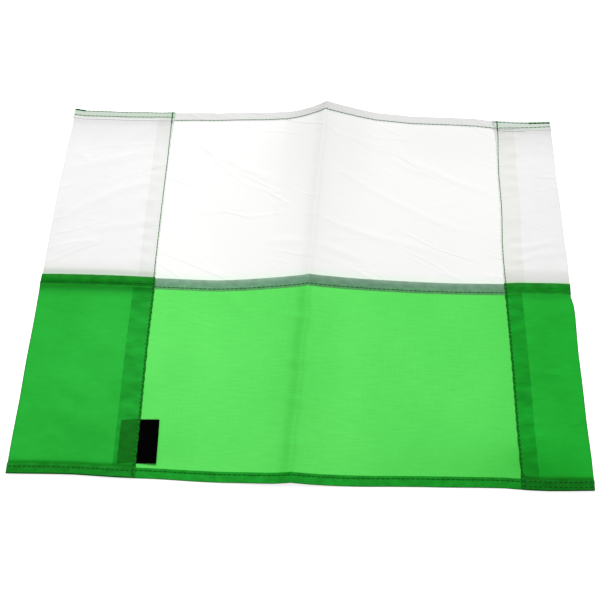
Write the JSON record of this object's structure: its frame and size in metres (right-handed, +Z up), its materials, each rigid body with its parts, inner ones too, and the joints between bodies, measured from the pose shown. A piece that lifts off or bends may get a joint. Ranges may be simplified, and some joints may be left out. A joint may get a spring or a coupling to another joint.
{
  "type": "corner flag cloth",
  "caption": "Sports corner flag cloth in white and green nylon, with a wide and a narrow pole sleeve, hems, a lapped middle seam and a woven label.",
  "frame": {"origin": "middle of the flag's bounding box, on the surface that it lies on", "axes": "+X across the flag from the wide sleeve to the narrow sleeve, +Y from the bottom hem to the top hem, +Z up"},
  "size_m": [0.4612, 0.369, 0.0271],
  "materials": {
    "white_nylon": "thin plain-weave nylon, slightly see-through",
    "green_nylon": "thin plain-weave nylon, slightly see-through",
    "sewing_thread": "spun polyester thread",
    "woven_label": "dense woven satin ribbon"
  },
  "bodies": {
    "left_half": {"white_panel_left": "white_nylon", "green_panel_left": "green_nylon", "top_hem_thread_left": "sewing_thread", "middle_seam_thread_left": "sewing_thread", "bottom_hem_thread_left": "sewing_thread", "wide_sleeve_thread": "sewing_thread", "woven_label_held_end": "woven_label"},
    "right_half": {"white_panel_right": "white_nylon", "green_panel_right": "green_nylon", "top_hem_thread_right": "sewing_thread", "middle_seam_thread_right": "sewing_thread", "bottom_hem_thread_right": "sewing_thread", "narrow_sleeve_thread": "sewing_thread"},
    "label_tab": {"woven_label_tab": "woven_label"}
  },
  "joints": [
    {"name": "centre_fold", "type": "hinge", "parent": "left_half", "child": "right_half", "pos_m": [0.004, -0.00128, 0.01588], "axis": [-0.0598, -0.9961, -0.0653], "range_deg": [0, 174]},
    {"name": "label_flip", "type": "hinge", "parent": "left_half", "child": "label_tab", "pos_m": [-0.12788, -0.15213, 0.00258], "axis": [0.006, -1, 0], "range_deg": [0, 160]}
  ]
}
